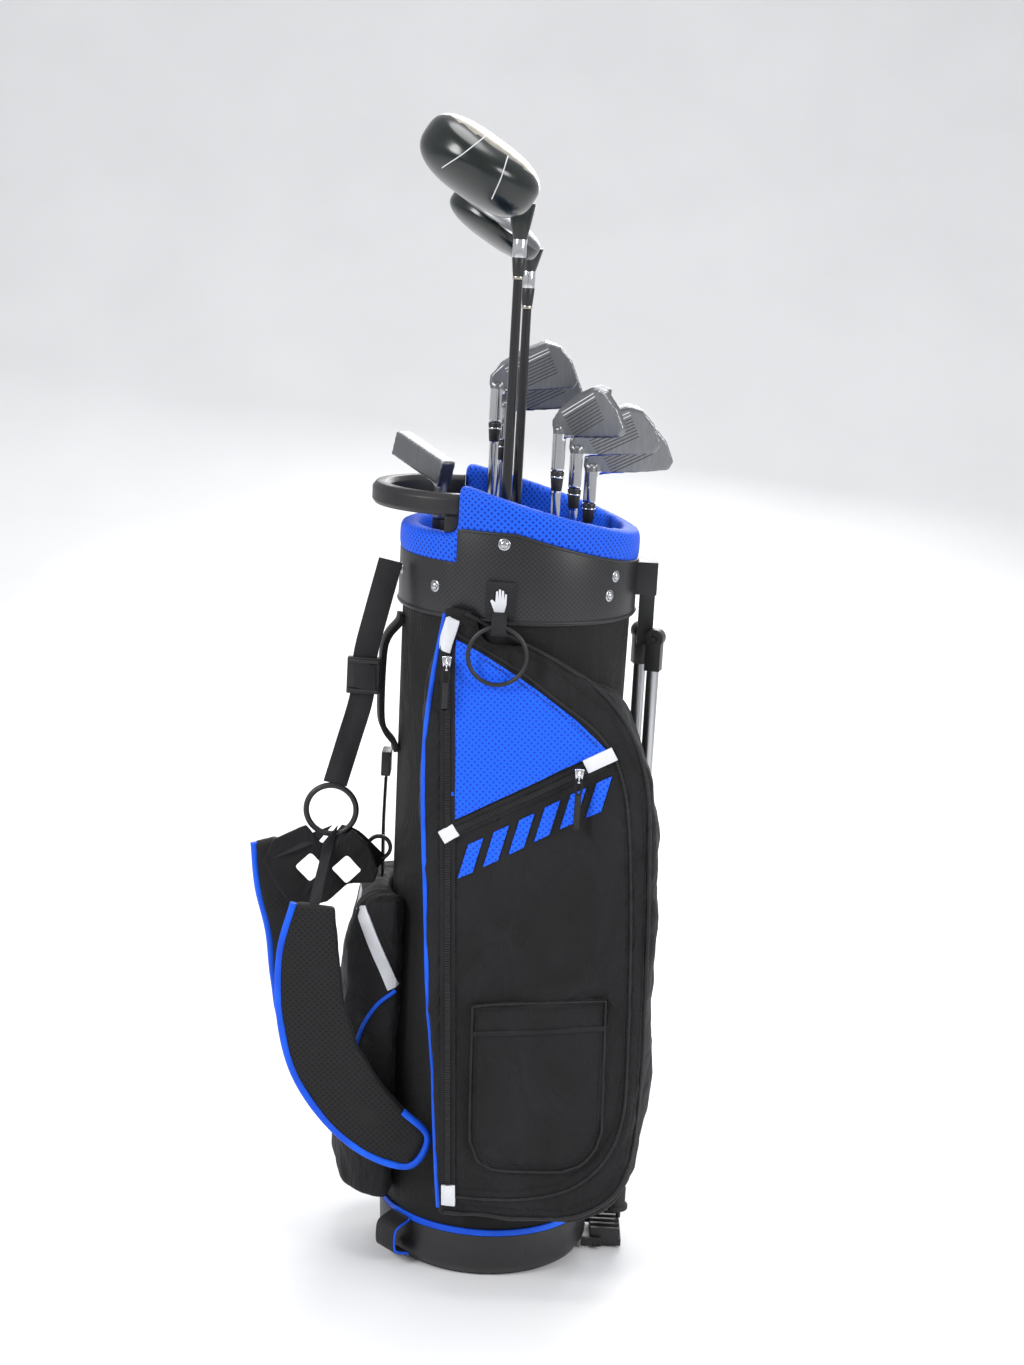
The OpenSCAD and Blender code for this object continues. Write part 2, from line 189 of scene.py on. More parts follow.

# %% [markdown]
# Woven cloth is two crossed sets of threads. Two wave patterns at right angles give the threads,
# a large soft noise gives the wrinkles that a cut and sewn pocket always keeps. Unless the colour
# comes from the weave, that noise also paints the wrinkles' hollows darker and their tops
# lighter: painted shade.

# %% Cloth finishes
def cloth(name, dark, light, thread=0.0011, wrinkle=0.5, rough=0.7, sheen=0.03, slant=0.0,
          relief=0.0004, woven_colour=False):
    material = finish_named(name, light, rough, sheen=sheen)
    material.node_tree.nodes["Principled BSDF"].inputs["Specular IOR Level"].default_value = 0.28
    mapping = place_of(material, turn=(0, slant, 0))
    waves = []
    for direction in ("X", "Z"):
        wave = node(material, "ShaderNodeTexWave", wave_type="BANDS", bands_direction=direction,
                    Scale=0.314 / thread, Distortion=0.6, Detail=1.0)
        join(material, mapping, "Vector", wave, "Vector")
        waves.append(wave)
    weave = summed(material, waves[0], "Fac", waves[1], "Fac", 1.0)
    folds = node(material, "ShaderNodeTexNoise", Scale=16.0, Detail=5.0, Roughness=0.55,
                 Distortion=0.9)
    stretched = place_of(material, scale=(1.0, 1.0, 0.55))
    join(material, stretched, "Vector", folds, "Vector")
    first = add_bump(material, folds, "Fac", wrinkle, 0.02)
    second = add_bump(material, weave, 0, 0.35, relief)
    join(material, first, "Normal", second, "Normal")
    if woven_colour:
        tint(material, weave, 0, dark, light, 0.25, 0.8)
    else:
        # Painted shade: the wrinkles' hollows take the dark colour and their tops the light one.
        tint(material, folds, "Fac", dark, light)
    return material

# The first colour of each cloth is the painted shade in its wrinkles' hollows; the ripstop's two
# colours are its threads.
black_cloth = cloth("black polyester", (0.003, 0.003, 0.0035), (0.009, 0.009, 0.0105), wrinkle=0.8)
tube_cloth = cloth("black ribbed polyester", (0.003, 0.003, 0.003), (0.008, 0.008, 0.009),
                   thread=0.003, wrinkle=0.3)
blue_cloth = cloth("blue ripstop", (0.0, 0.035, 0.50), (0.004, 0.11, 0.85), thread=0.0046,
                   wrinkle=0.15, rough=0.45, slant=math.radians(45), relief=0.0011,
                   woven_colour=True)
blue_trim = cloth("blue piping cloth", (0.0, 0.06, 0.6), (0.004, 0.12, 0.85), thread=0.0012,
                  wrinkle=0.05, rough=0.5)
pale_trim = cloth("pale zipper tab", (0.55, 0.56, 0.6), (0.8, 0.81, 0.84), thread=0.0012,
                  wrinkle=0.08, rough=0.5)
piping_cloth = cloth("black piping cloth", (0.006, 0.006, 0.007), (0.014, 0.014, 0.015),
                     thread=0.0014, wrinkle=0.1, rough=0.42)
black_trim = cloth("black tape", (0.004, 0.004, 0.005), (0.011, 0.011, 0.012), thread=0.0016,
                   wrinkle=0.1)
webbing_cloth = cloth("ribbed webbing", (0.006, 0.006, 0.007), (0.018, 0.018, 0.02),
                      thread=0.0024, wrinkle=0.08)

# %% [markdown]
# Air mesh is a knit full of small holes over foam. A Voronoi pattern's cells, pressed in by the
# bump, read as those holes, and their middles are painted darker: painted shade in the holes.
# With no randomness they form a lattice.

# %% Air mesh
def air_mesh(name, hole_shade, thread, cell=MESH_CELL, depth=0.0016, round_the_bag=False):
    material = finish_named(name, thread, 0.65, sheen=0.05)
    material.node_tree.nodes["Principled BSDF"].inputs["Specular IOR Level"].default_value = 0.25
    cells = node(material, "ShaderNodeTexVoronoi", feature="DISTANCE_TO_EDGE", Scale=1 / cell,
                 Randomness=0.0)
    if round_the_bag:
        mapping = place_around(material)
        cells.voronoi_dimensions = "2D"
    else:
        mapping = place_of(material, turn=(0, math.radians(45), 0))
    join(material, mapping, "Vector", cells, "Vector")
    # Painted shade: each cell's sunken middle takes the darker hole colour.
    tint(material, cells, "Distance", thread, hole_shade, 0.16, 0.34)
    add_bump(material, cells, "Distance", -0.9, depth)
    return material

# The first colour of each mesh is the painted shade in its holes, the second its threads.
blue_mesh = air_mesh("blue air mesh", (0.0, 0.02, 0.28), (0.004, 0.10, 0.78), round_the_bag=True)
black_mesh = air_mesh("black air mesh", (0.001, 0.001, 0.001), (0.010, 0.010, 0.011), 0.0045)

# %% [markdown]
# Moulded plastic has a fine pebble, and wear makes it glossier in places. The cuff is embossed
# with small cells in rows, which follow it round; their pressed centres are painted darker and
# their ridges lighter, a painted shade and highlight. Lacquered pieces have a smooth coat instead.

# %% Plastic, rubber and lacquer
def moulded(name, colour, rough=0.42, grain=0.0012, depth=0.0003):
    material = finish_named(name, colour, rough)
    pebble = node(material, "ShaderNodeTexNoise", Scale=1 / grain, Detail=2.0)
    join(material, place_of(material), "Vector", pebble, "Vector")
    add_bump(material, pebble, "Fac", 0.3, depth)
    wear = node(material, "ShaderNodeTexNoise", Scale=22.0, Detail=4.0)
    join(material, place_of(material), "Vector", wear, "Vector")
    tint(material, wear, "Fac", (rough - 0.08,) * 3, (rough + 0.1,) * 3, socket="Roughness")
    return material

black_plastic = moulded("black moulded plastic", (0.010, 0.010, 0.011))
rubber = moulded("black rubber", (0.010, 0.010, 0.010), 0.7, 0.002, 0.0005)
grip_rubber = moulded("corded grip rubber", (0.012, 0.012, 0.012), 0.75, 0.0025, 0.0008)

embossed = finish_named("embossed cuff", (0.009, 0.009, 0.010), 0.38)
EMBOSS_CELL, EMBOSS_ROUND = 0.0036, 142
emboss_cells = node(embossed, "ShaderNodeTexVoronoi", voronoi_dimensions="2D",
                    Scale=1 / EMBOSS_CELL, Randomness=0.0)
emboss_place = place_around(embossed, EMBOSS_CELL, EMBOSS_ROUND)
join(embossed, emboss_place, "Vector", emboss_cells, "Vector")
add_bump(embossed, emboss_cells, "Distance", -0.7, 0.0012)
# Painted shade and highlight: the ridges between the cells are lighter, the pressed centres darker.
tint(embossed, emboss_cells, "Distance", (0.02, 0.02, 0.022), (0.004, 0.004, 0.005), 0.1, 0.6)

graphite = finish_named("lacquered graphite", (0.006, 0.006, 0.007), 0.16, coat=0.6)
fibre = node(graphite, "ShaderNodeTexNoise", Scale=30.0, Detail=3.0)
join(graphite, place_of(graphite, (1, 1, 0.05)), "Vector", fibre, "Vector")
tint(graphite, fibre, "Fac", (0.004, 0.004, 0.005), (0.012, 0.012, 0.014))

crown_gloss = finish_named("crown lacquer", (0.006, 0.010, 0.009), 0.24, coat=0.1)
flakes = node(crown_gloss, "ShaderNodeTexNoise", Scale=900.0, Detail=1.0)
join(crown_gloss, place_of(crown_gloss), "Vector", flakes, "Vector")
tint(crown_gloss, flakes, "Fac", (0.003, 0.006, 0.005), (0.012, 0.020, 0.018), 0.5, 0.85)

# %% [markdown]
# Brushed steel is a metal whose scratches run one way. Stretching a noise along one axis gives
# them, and the same noise bumps the surface and varies its colour a little.

# %% Metals
def metal(name, colour, rough, stretch=(1, 1, 1), grain=300.0, depth=0.0001, dark=0.6):
    material = finish_named(name, colour, rough, metal=1.0)
    scratch = node(material, "ShaderNodeTexNoise", Scale=grain, Detail=3.0)
    join(material, place_of(material, stretch), "Vector", scratch, "Vector")
    add_bump(material, scratch, "Fac", 0.25, depth)
    tint(material, scratch, "Fac", tuple(c * dark for c in colour), colour)
    return material

brushed = metal("brushed club steel", (0.24, 0.245, 0.255), 0.36, (1, 1, 0.06), dark=0.85)
chrome = metal("polished chrome", (0.70, 0.71, 0.73), 0.12, grain=20.0, depth=0.000004, dark=0.92)
nickel = metal("rivet nickel", (0.46, 0.47, 0.49), 0.2, grain=20.0, depth=0.000004, dark=0.85)
sole_silver = metal("champagne sole", (0.62, 0.58, 0.50), 0.25, (0.08, 1, 1))
alloy = metal("anodised leg alloy", (0.62, 0.63, 0.65), 0.3, (1, 1, 0.03))
print("finishes made:", len(bpy.data.materials))

# %% [markdown]
# Each new piece is a primitive or a merged copy of a frame node, shaped in edit mode or by
# modifiers that are then applied. These helpers select one object, apply its modifiers, and
# hand it to the body that carries it.

# %% Modelling helpers
def active(item):
    bpy.ops.object.select_all(action="DESELECT")
    item.select_set(True)
    bpy.context.view_layer.objects.active = item

def apply_modifiers(item):
    active(item)
    for modifier in list(item.modifiers):
        bpy.ops.object.modifier_apply(modifier=modifier.name)

def settle(item):
    active(item)
    bpy.ops.object.transform_apply(location=True, rotation=True, scale=True)

def finish_piece(item, name, material, body="bag", stands_for=()):
    item.name = name
    item.data.materials.clear()
    item.data.materials.append(material)
    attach(item, body)
    if stands_for:
        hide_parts(*stands_for)
    return item

def copy_of(node_name):
    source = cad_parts[node_name]
    item = bpy.data.objects.new(node_name + "_copy", source.data.copy())
    bpy.context.collection.objects.link(item)
    active(item)
    if item.data.has_custom_normals:
        bpy.ops.mesh.customdata_custom_splitnormals_clear()
    bpy.ops.object.mode_set(mode="EDIT")
    bpy.ops.mesh.select_all(action="SELECT")
    bpy.ops.mesh.remove_doubles(threshold=0.00002)
    bpy.ops.mesh.dissolve_limited(angle_limit=math.radians(1.5))
    bpy.ops.object.mode_set(mode="OBJECT")
    return item

def joined(items):
    bpy.ops.object.select_all(action="DESELECT")
    for item in items:
        item.select_set(True)
    bpy.context.view_layer.objects.active = items[0]
    bpy.ops.object.join()
    return items[0]

def bevelled(item, width, segments=3):
    bevel = item.modifiers.new("edges", "BEVEL")
    bevel.width, bevel.segments, bevel.limit_method = width, segments, "ANGLE"
    bevel.angle_limit = math.radians(35)
    apply_modifiers(item)
    bpy.ops.object.shade_smooth_by_angle(angle=math.radians(40))

def softened(item, voxel, rounds, folds=0.0, fold_size=0.09):
    remesh = item.modifiers.new("skin", "REMESH")
    remesh.mode, remesh.voxel_size = "VOXEL", voxel
    smooth = item.modifiers.new("soft", "SMOOTH")
    smooth.factor, smooth.iterations = 0.6, rounds
    if folds:
        pattern = bpy.data.textures.new(item.name + "_folds", "CLOUDS")
        pattern.noise_scale, pattern.noise_depth = fold_size, 3
        wrinkle = item.modifiers.new("folds", "DISPLACE")
        wrinkle.texture, wrinkle.strength, wrinkle.mid_level = pattern, folds, 0.62
        wrinkle.texture_coords = "LOCAL"
    apply_modifiers(item)
    bpy.ops.object.shade_smooth()

def rounded_path(points, steps=6):
    points = [Vector(p) for p in points]
    ends = [points[0] * 2 - points[1]] + points + [points[-1] * 2 - points[-2]]
    path = []
    for i in range(1, len(ends) - 2):
        a, b, c, d = ends[i - 1:i + 3]
        for k in range(steps):
            t = k / steps
            path.append(0.5 * (2 * b + (c - a) * t + (2 * a - 5 * b + 4 * c - d) * t * t
                               + (3 * b - a - 3 * c + d) * t ** 3))
    return path + [points[-1]]

def rod_along(name, path, radius, closed=False):
    curve = bpy.data.curves.new(name, "CURVE")
    curve.dimensions, curve.bevel_depth, curve.bevel_resolution = "3D", radius, 3
    curve.use_fill_caps = True
    spline = curve.splines.new("POLY")
    spline.points.add(len(path) - 1)
    for point, place in zip(spline.points, path):
        point.co = (*place, 1)
    spline.use_cyclic_u = closed
    item = bpy.data.objects.new(name, curve)
    bpy.context.collection.objects.link(item)
    active(item)
    bpy.ops.object.convert(target="MESH")
    bpy.ops.object.shade_smooth()
    return bpy.context.active_object

def strap(name, path, width, across=(0, 1, 0), thick=0.0022):
    across = Vector(across).normalized()
    bpy.ops.object.select_all(action="DESELECT")
    bpy.ops.mesh.primitive_grid_add(x_subdivisions=len(path) - 1, y_subdivisions=2, size=1)
    item = bpy.context.active_object
    order = sorted(item.data.vertices, key=lambda v: (round(v.co.x, 4), v.co.y))
    for i, place in enumerate(path):
        for j, vertex in enumerate(order[3 * i:3 * i + 3]):
            vertex.co = Vector(place) + across * width * (j - 1) / 2
    solid = item.modifiers.new("cloth", "SOLIDIFY")
    solid.thickness, solid.offset = thick, 0
    bevelled(item, thick * 0.3, 2)
    item.name = name
    return item

MM = 0.001

# %% [markdown]
# Panels, tapes and teeth on a pocket have to follow its puffed skin. They are modelled flat and
# facing forwards, cut into small faces by bisecting, and then every point is carried back to the
# skin by a ray cast along +Y.

# %% Helpers for pieces that lie on a pocket
def skin_of(item):
    graph = bpy.context.evaluated_depsgraph_get()
    return BVHTree.FromObject(item, graph)

def lay_on(item, skin):
    misses = 0
    for vertex in item.data.vertices:
        hit = skin.ray_cast(Vector((vertex.co.x, -0.4, vertex.co.z)), Vector((0, 1, 0)))
        if hit[0] is None:
            near = skin.find_nearest(Vector((vertex.co.x, -0.13, vertex.co.z)))
            vertex.co.y += near[0].y
            misses += 1
        else:
            vertex.co.y += hit[0].y
    item.data.update()
    return misses

def panel(outline, skin, lift=1.2, thick=1.2, cell=14):
    points = [Vector((x * MM, 0, z * MM)) for x, z in outline]
    bpy.ops.object.select_all(action="DESELECT")
    bpy.ops.mesh.primitive_circle_add(vertices=len(points), radius=1, fill_type="NGON")
    item = bpy.context.active_object
    for vertex, place in zip(item.data.vertices, points):
        vertex.co = place
    bpy.ops.object.mode_set(mode="EDIT")
    for axis in (0, 2):
        low = min(p[axis] for p in points)
        high = max(p[axis] for p in points)
        for k in range(1, int((high - low) / (cell * MM)) + 1):
            place = [0, 0, 0]
            place[axis] = low + k * cell * MM
            bpy.ops.mesh.select_all(action="SELECT")
            bpy.ops.mesh.bisect(plane_co=place, plane_no=(axis == 0, 0, axis == 2))
    bpy.ops.mesh.select_all(action="SELECT")
    bpy.ops.mesh.quads_convert_to_tris()
    bpy.ops.object.mode_set(mode="OBJECT")
    if item.data.polygons[0].normal.y > 0:
        item.data.flip_normals()
    lay_on(item, skin)
    for vertex in item.data.vertices:
        vertex.co.y -= lift * MM
    solid = item.modifiers.new("cloth", "SOLIDIFY")
    solid.thickness, solid.offset = (thick + 2.5) * MM, -1
    bevelled(item, 0.5 * MM, 2)
    return item

def band(path, width):
    path = [Vector(p) for p in path]
    sides = []
    for i, here in enumerate(path):
        along = (path[min(i + 1, len(path) - 1)] - path[max(i - 1, 0)]).normalized()
        sides.append(Vector((-along.y, along.x)) * width / 2)
    left = [p + s for p, s in zip(path, sides)]
    right = [p - s for p, s in zip(path, sides)]
    return left + right[::-1]

def piping_on(name, points, skin, radius=1.8, lift=0.6):
    flat = rounded_path([(x, z) for x, z in points], 8)
    path = []
    for x, z in flat:
        hit = skin.ray_cast(Vector((x * MM, -0.4, z * MM)), Vector((0, 1, 0)))
        if hit[0] is not None:
            path.append(hit[0] - Vector((0, lift * MM, 0)))
    return rod_along(name, path, radius * MM)

def stitches_on(name, points, skin, pitch=4.2, length=2.8, lift=0.9):
    curve = bpy.data.curves.new(name, "CURVE")
    curve.dimensions, curve.bevel_depth, curve.bevel_resolution = "3D", 0.35 * MM, 0
    for start, end in zip(points, points[1:]):
        start, end = Vector(start), Vector(end)
        along = (end - start).normalized()
        for k in range(int((end - start).length / pitch)):
            ends = []
            for step in (k * pitch, k * pitch + length):
                x, z = (start + along * step) * MM
                ends.append(skin.ray_cast(Vector((x, -0.4, z)), Vector((0, 1, 0)))[0])
            if None not in ends:
                spline = curve.splines.new("POLY")
                spline.points.add(1)
                for point, place in zip(spline.points, ends):
                    point.co = (place.x, place.y - lift * MM, place.z, 1)
    item = bpy.data.objects.new(name, curve)
    bpy.context.collection.objects.link(item)
    active(item)
    bpy.ops.object.convert(target="MESH")
    return bpy.context.active_object

def inset_line(points, middle, share):
    return [tuple(Vector(middle) + (Vector(p) - Vector(middle)) * share) for p in points]

def teeth(name, start, end, skin, pitch=2.4, wide=5.0):
    start, end = Vector(start), Vector(end)
    count = int((end - start).length / pitch)
    along = (end - start).normalized()
    bpy.ops.object.select_all(action="DESELECT")
    bpy.ops.mesh.primitive_cube_add(size=1)
    item = bpy.context.active_object
    item.scale = (wide * MM, 1.6 * MM, pitch * 0.6 * MM)
    item.rotation_euler = (0, math.atan2(along.x, along.y), 0)
    item.location = (start.x * MM, 0, start.y * MM)
    settle(item)
    row = item.modifiers.new("row", "ARRAY")
    row.count, row.use_relative_offset, row.use_constant_offset = count, False, True
    row.constant_offset_displace = (along.x * pitch * MM, 0, along.y * pitch * MM)
    apply_modifiers(item)
    lay_on(item, skin)
    for vertex in item.data.vertices:
        vertex.co.y -= 3.2 * MM
    item.name = name
    return item

# %% [markdown]
# Hard mouldings keep the frame's exact shape. A merged copy gets a small rounded edge, which
# is what catches the light on a real moulding.

# %% Mouldings and fittings with rounded edges
MOULDINGS = [
    ("base_cup", 1.5, black_plastic, "black_moulding", "bag"),
    ("lift_handle", 2.5, black_plastic, "black_moulding", "bag"),
    ("stand_bracket", 1.5, black_plastic, "black_moulding", "bag"),
    ("leg_front_hub", 1.5, black_plastic, "black_moulding", "leg_front"),
    ("leg_rear_hub", 1.5, black_plastic, "black_moulding", "leg_rear"),
    ("stand_foot", 1.2, black_plastic, "black_moulding", "stand_foot"),
    ("strap_hardware", 1.2, black_plastic, "black_moulding", "bag"),
    ("top_cuff", 1.0, embossed, "embossed_cuff", "bag"),
    ("leg_front_foot", 2.0, rubber, "rubber", "leg_front"),
    ("leg_rear_foot", 2.0, rubber, "rubber", "leg_rear"),
]
for node_name, edge, material, slot, body in MOULDINGS:
    shell = copy_of(node_name)
    bevelled(shell, edge * MM)
    finish_piece(shell, node_name + "_moulding", material, body, (node_name,))
print("mouldings:", len(MOULDINGS))

# %% [markdown]
# Frame nodes that are already right, such as tubes, rings and grips, stay and only take a
# better finish.

# %% Finishes on frame nodes
KEPT = {"base_sole": rubber, "stay_rods": alloy, "divider_curtains": black_cloth,
        "leg_front": alloy, "leg_rear": alloy, "push_rod": black_plastic,
        "strap_ring": black_plastic, "towel_ring": black_plastic}
CLUBS = ["driver", "fairway", "iron_4", "iron_5", "iron_6", "iron_7", "iron_8", "putter"]
for club in CLUBS:
    KEPT[club + "_grip"] = grip_rubber
    KEPT[club + "_shaft"] = graphite if club in ("driver", "fairway") else chrome
for node_name, material in KEPT.items():
    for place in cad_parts[node_name].material_slots:
        place.material = material

# %% [markdown]
# The tube, the rim and the pockets are cloth over foam or liner. A fine remesh of the merged
# copy, some smoothing and a gentle cloud displacement turn the stiff solid into a sewn, filled
# one. A cloth simulation could do it too. This way is quicker and gives the same folds each run.

# %% Cloth skins
tube = copy_of("tube_shell")
finish_piece(tube, "tube_cover", tube_cloth, "bag", ("tube_shell",))
active(tube)
bpy.ops.object.shade_smooth_by_angle(angle=math.radians(40))
rim = copy_of("rim_pad")
softened(rim, 0.0035, 14)
finish_piece(rim, "rim_padding", blue_mesh, "bag", ("rim_pad",))
cross = copy_of("divider_cross")
softened(cross, 0.003, 5)
finish_piece(cross, "divider_padding", black_mesh, "bag", ("divider_cross",))
pocket = copy_of("front_pocket")
softened(pocket, 0.0045, 24, 0.014, 0.07)
finish_piece(pocket, "front_pocket_bag", black_cloth, "bag", ("front_pocket",))
ball = copy_of("ball_pocket")
softened(ball, 0.0045, 20, 0.010, 0.06)
finish_piece(ball, "ball_pocket_bag", black_cloth, "bag", ("ball_pocket",))
pocket_skin, ball_skin = skin_of(pocket), skin_of(ball)
piping = copy_of("base_piping")
bevelled(piping, 0.0012)
finish_piece(piping, "base_piping_band", blue_trim, "bag", ("base_piping",))
print("skins:", [len(o.data.polygons) for o in (rim, pocket, ball)])

# %% [markdown]
# The front pocket is sewn from shaped panels. Each is drawn as an outline in X and Z,
# millimetres, laid on the puffed skin with a thickness that reads as a seam. Piping and rows of
# stitches follow the same outlines, drawn in a little towards the panel's middle.

# %% Front pocket panels
TRIANGLE = [(-58, 688), (-30, 675), (0, 658), (34, 637), (66, 614), (98, 586), (60, 566),
            (0, 533), (-62, 500)]
blue_panel = panel(TRIANGLE, pocket_skin)
finish_piece(blue_panel, "blue_ripstop_panel", blue_cloth)
PATCH = [(-23, 316), (114, 330), (118, 190), (112, 170), (100, 154), (80, 144), (10, 144),
         (-8, 152), (-18, 172)]
patch = panel(PATCH, pocket_skin, lift=3.0)
finish_piece(patch, "patch_pocket_panel", black_cloth, "bag", ("patch_pocket",))
crease = panel(band([(-21, 286), (114, 300)], 5), pocket_skin, lift=4.6)
finish_piece(crease, "patch_pocket_hem", black_trim)
INNER_LINE = [(-58, 694), (0, 664), (45, 634), (88, 602), (112, 566), (125, 510), (134, 400),
              (139, 250), (135, 190), (116, 150), (80, 122), (20, 110), (-34, 112)]
OUTER_LINE = [(-50, 714), (-10, 697), (50, 667), (102, 631), (138, 563), (148, 470),
              (153, 330), (154, 215), (147, 148), (124, 112), (86, 94), (40, 90), (-40, 93)]
for name, line, size in (("pocket_inner_piping", INNER_LINE, 1.7),
                         ("pocket_outer_piping", OUTER_LINE, 2.2)):
    finish_piece(piping_on(name, line, pocket_skin, size), name, piping_cloth)
PANEL_MIDDLE, PATCH_MIDDLE = (-10, 600), (50, 230)
patch_skin = skin_of(patch)
closed_patch = PATCH + PATCH[:1]
finish_piece(piping_on("patch_piping", inset_line(closed_patch, PATCH_MIDDLE, 0.985), patch_skin,
                       1.5), "patch_piping", piping_cloth)
STITCH_ROWS = {
    "stitches_inner": (inset_line(INNER_LINE, (40, 380), 0.965), pocket_skin),
    "stitches_outer": (inset_line(OUTER_LINE, (40, 380), 0.97), pocket_skin),
    "stitches_patch": (inset_line(closed_patch, PATCH_MIDDLE, 0.93), patch_skin),
    "stitches_panel": (inset_line(TRIANGLE[1:6], PANEL_MIDDLE, 0.93), skin_of(blue_panel)),
}
for name, (line, skin) in STITCH_ROWS.items():
    finish_piece(stitches_on(name, line, skin), name, piping_cloth)
EDGE_LINE = [(-70, 712), (-80, 640), (-84, 560), (-76, 430), (-66, 300), (-46, 96)]
finish_piece(piping_on("pocket_blue_piping", EDGE_LINE, pocket_skin, 2.4), "pocket_blue_piping",
             blue_trim)

# %% [markdown]
# A zipper is two tapes with a coil between them. The teeth are one small block repeated by an
# array along the run. Pale tabs finish both ends.

# %% Zippers
LONG_RUN = [(-66, 684), (-37, 118)]
SHORT_RUN = [(-60, 491), (96, 573)]
tapes = []
for run in (LONG_RUN, SHORT_RUN):
    tapes.append(panel(band(run, 15), pocket_skin, lift=1.8))
finish_piece(tapes[0], "long_zipper_tape", black_trim, "bag", ("zipper_tapes",))
finish_piece(tapes[1], "short_zipper_tape", black_trim)
for name, run in (("long_zipper_teeth", LONG_RUN), ("short_zipper_teeth", SHORT_RUN)):
    finish_piece(teeth(name, run[0], run[1], pocket_skin), name, black_plastic)
TABS = {"tab_long_top": [(-62, 708), (-70, 676)], "tab_long_low": [(-37, 124), (-36, 102)],
        "tab_short_right": [(78, 568), (106, 583)], "tab_short_left": [(-62, 488), (-48, 497)]}
for name, run in TABS.items():
    tab = panel(band(run, 14), pocket_skin, lift=4.4, cell=7)
    finish_piece(tab, name, pale_trim)
BAR_COUNT = 6
for k in range(BAR_COUNT):
    left, low = -44 + k * 25, 446 + k * 14
    bar = panel([(left, low), (left + 15, low + 8), (left + 24, low + 44), (left + 9, low + 36)],
                pocket_skin, lift=1.4, cell=9)
    finish_piece(bar, "print_bar_%d" % (k + 1), blue_cloth)
print("pocket done")

# %% [markdown]
# A zipper slider is a pinched wedge with a bridge, and a pull of cord hangs from it. Each rides
# on its own body, so it runs along its teeth when that joint moves.

# %% Zipper sliders with their pulls
def slider(node_name, body):
    low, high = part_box(node_name)
    middle = (low[0] + high[0]) / 2
    top = high[2] - 8 * MM
    front = low[1] + 6 * MM
    bpy.ops.object.select_all(action="DESELECT")
    bpy.ops.mesh.primitive_cube_add(size=1, location=(middle, front, top))
    wedge = bpy.context.active_object
    wedge.scale = (10 * MM, 4 * MM, 15 * MM)
    settle(wedge)
    for vertex in wedge.data.vertices:
        if vertex.co.z < top:
            vertex.co.x = middle + (vertex.co.x - middle) * 0.6
    bevelled(wedge, 1.2 * MM)
    bridge = rod_along(node_name + "_bridge", rounded_path([
        (middle, front - 2 * MM, top + 5 * MM), (middle, front - 4.2 * MM, top),
        (middle, front - 2 * MM, top - 5 * MM)]), 1.1 * MM)
    cord = rod_along(node_name + "_loop", rounded_path([
        (middle - 2 * MM, front - 3.6 * MM, top - 2 * MM),
        (middle - 3 * MM, front - 3.8 * MM, top - 14 * MM),
        (middle, front - 4 * MM, top - 20 * MM),
        (middle + 3 * MM, front - 3.8 * MM, top - 14 * MM),
        (middle + 2 * MM, front - 3.6 * MM, top - 2 * MM)]), 1.2 * MM)
    tip = rod_along(node_name + "_tip", rounded_path([
        (middle, front - 4 * MM, top - 18 * MM), (middle, front - 3 * MM, low[2] + 6 * MM),
        (middle, front - 3 * MM, low[2] + 3 * MM)]), 3.2 * MM)
    finish_piece(wedge, node_name + "_wedge", chrome, body, (node_name,))
    finish_piece(bridge, node_name + "_bridge", chrome, body)
    finish_piece(cord, node_name + "_loop", black_trim, body)
    finish_piece(tip, node_name + "_tip", rubber, body)

slider("long_zip_slider", "long_zip_slider")
slider("short_zip_slider", "short_zip_slider")

# %% [markdown]
# Rivets are domed heads on flat washers. Each is two spheres pressed nearly flat, turned to face
# out from the cuff at its angle, and all of them are joined into one piece.

# %% Rivets
CUFF_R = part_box("top_cuff")[1][0]
RIVETS = [(-97, 785), (-37, 752), (-165, 742), (-132, 735), (-41, 733), (70, 742), (120, 742)]
made = []
for angle, height in RIVETS:
    turn = math.radians(angle)
    out = Vector((math.cos(turn), math.sin(turn), 0))
    for radius, proud, lift in ((6.2, 1.0, 0.6), (4.4, 2.6, 1.2)):
        bpy.ops.object.select_all(action="DESELECT")
        bpy.ops.mesh.primitive_uv_sphere_add(segments=24, ring_count=12, radius=1)
        dome = bpy.context.active_object
        dome.scale = (radius * MM, radius * MM, proud * MM)
        dome.rotation_euler = out.to_track_quat("Z", "Y").to_euler()
        dome.location = out * (CUFF_R + lift * MM - 0.6 * MM) + Vector((0, 0, height * MM))
        settle(dome)
        bpy.ops.object.shade_smooth()
        made.append(dome)
finish_piece(joined(made), "cuff_rivet_heads", nickel, "bag", ("cuff_rivets",))

# %% [markdown]
# The cuff's two edges carry a rounded bead. Each follows the cuff at its own height.

# %% Cuff beads and seams
def around(radius, height_at, first=0, last=360, step=4):
    path = []
    for angle in range(first, last, step):
        turn = math.radians(angle)
        x, y = radius * math.cos(turn), radius * math.sin(turn)
        path.append((x, y, height_at(x)))
    return path

RIM_TILT = math.radians(15)
RIM_DROP = math.tan(RIM_TILT)
RIM_Z, CUFF_TOP_Z, CUFF_BELOW_RIM = 0.824, 0.795, 0.029
NOTCH_X, CUFF_NOTCH_Z, CUFF_BEAD_Z = -0.062, 0.762, 0.708
def cuff_top_at(x):
    if x < NOTCH_X:
        return CUFF_NOTCH_Z
    return min(CUFF_TOP_Z, RIM_Z - RIM_DROP * x - CUFF_BELOW_RIM / math.cos(RIM_TILT))

lower_bead = rod_along("cuff_lower_bead", around(CUFF_R, lambda x: CUFF_BEAD_Z), 1.4 * MM, True)
finish_piece(lower_bead, "cuff_lower_bead", black_plastic)
upper = around(CUFF_R - 0.4 * MM, cuff_top_at, -118, 119, 3)
upper_bead = rod_along("cuff_upper_bead", upper, 1.6 * MM)
finish_piece(upper_bead, "cuff_upper_bead", black_plastic)

# %% [markdown]
# The glove tab is webbing sewn to the cuff, with a plain open hand printed on it. A narrow loop
# below it holds the towel ring, and is wide enough inside for the ring to swing.

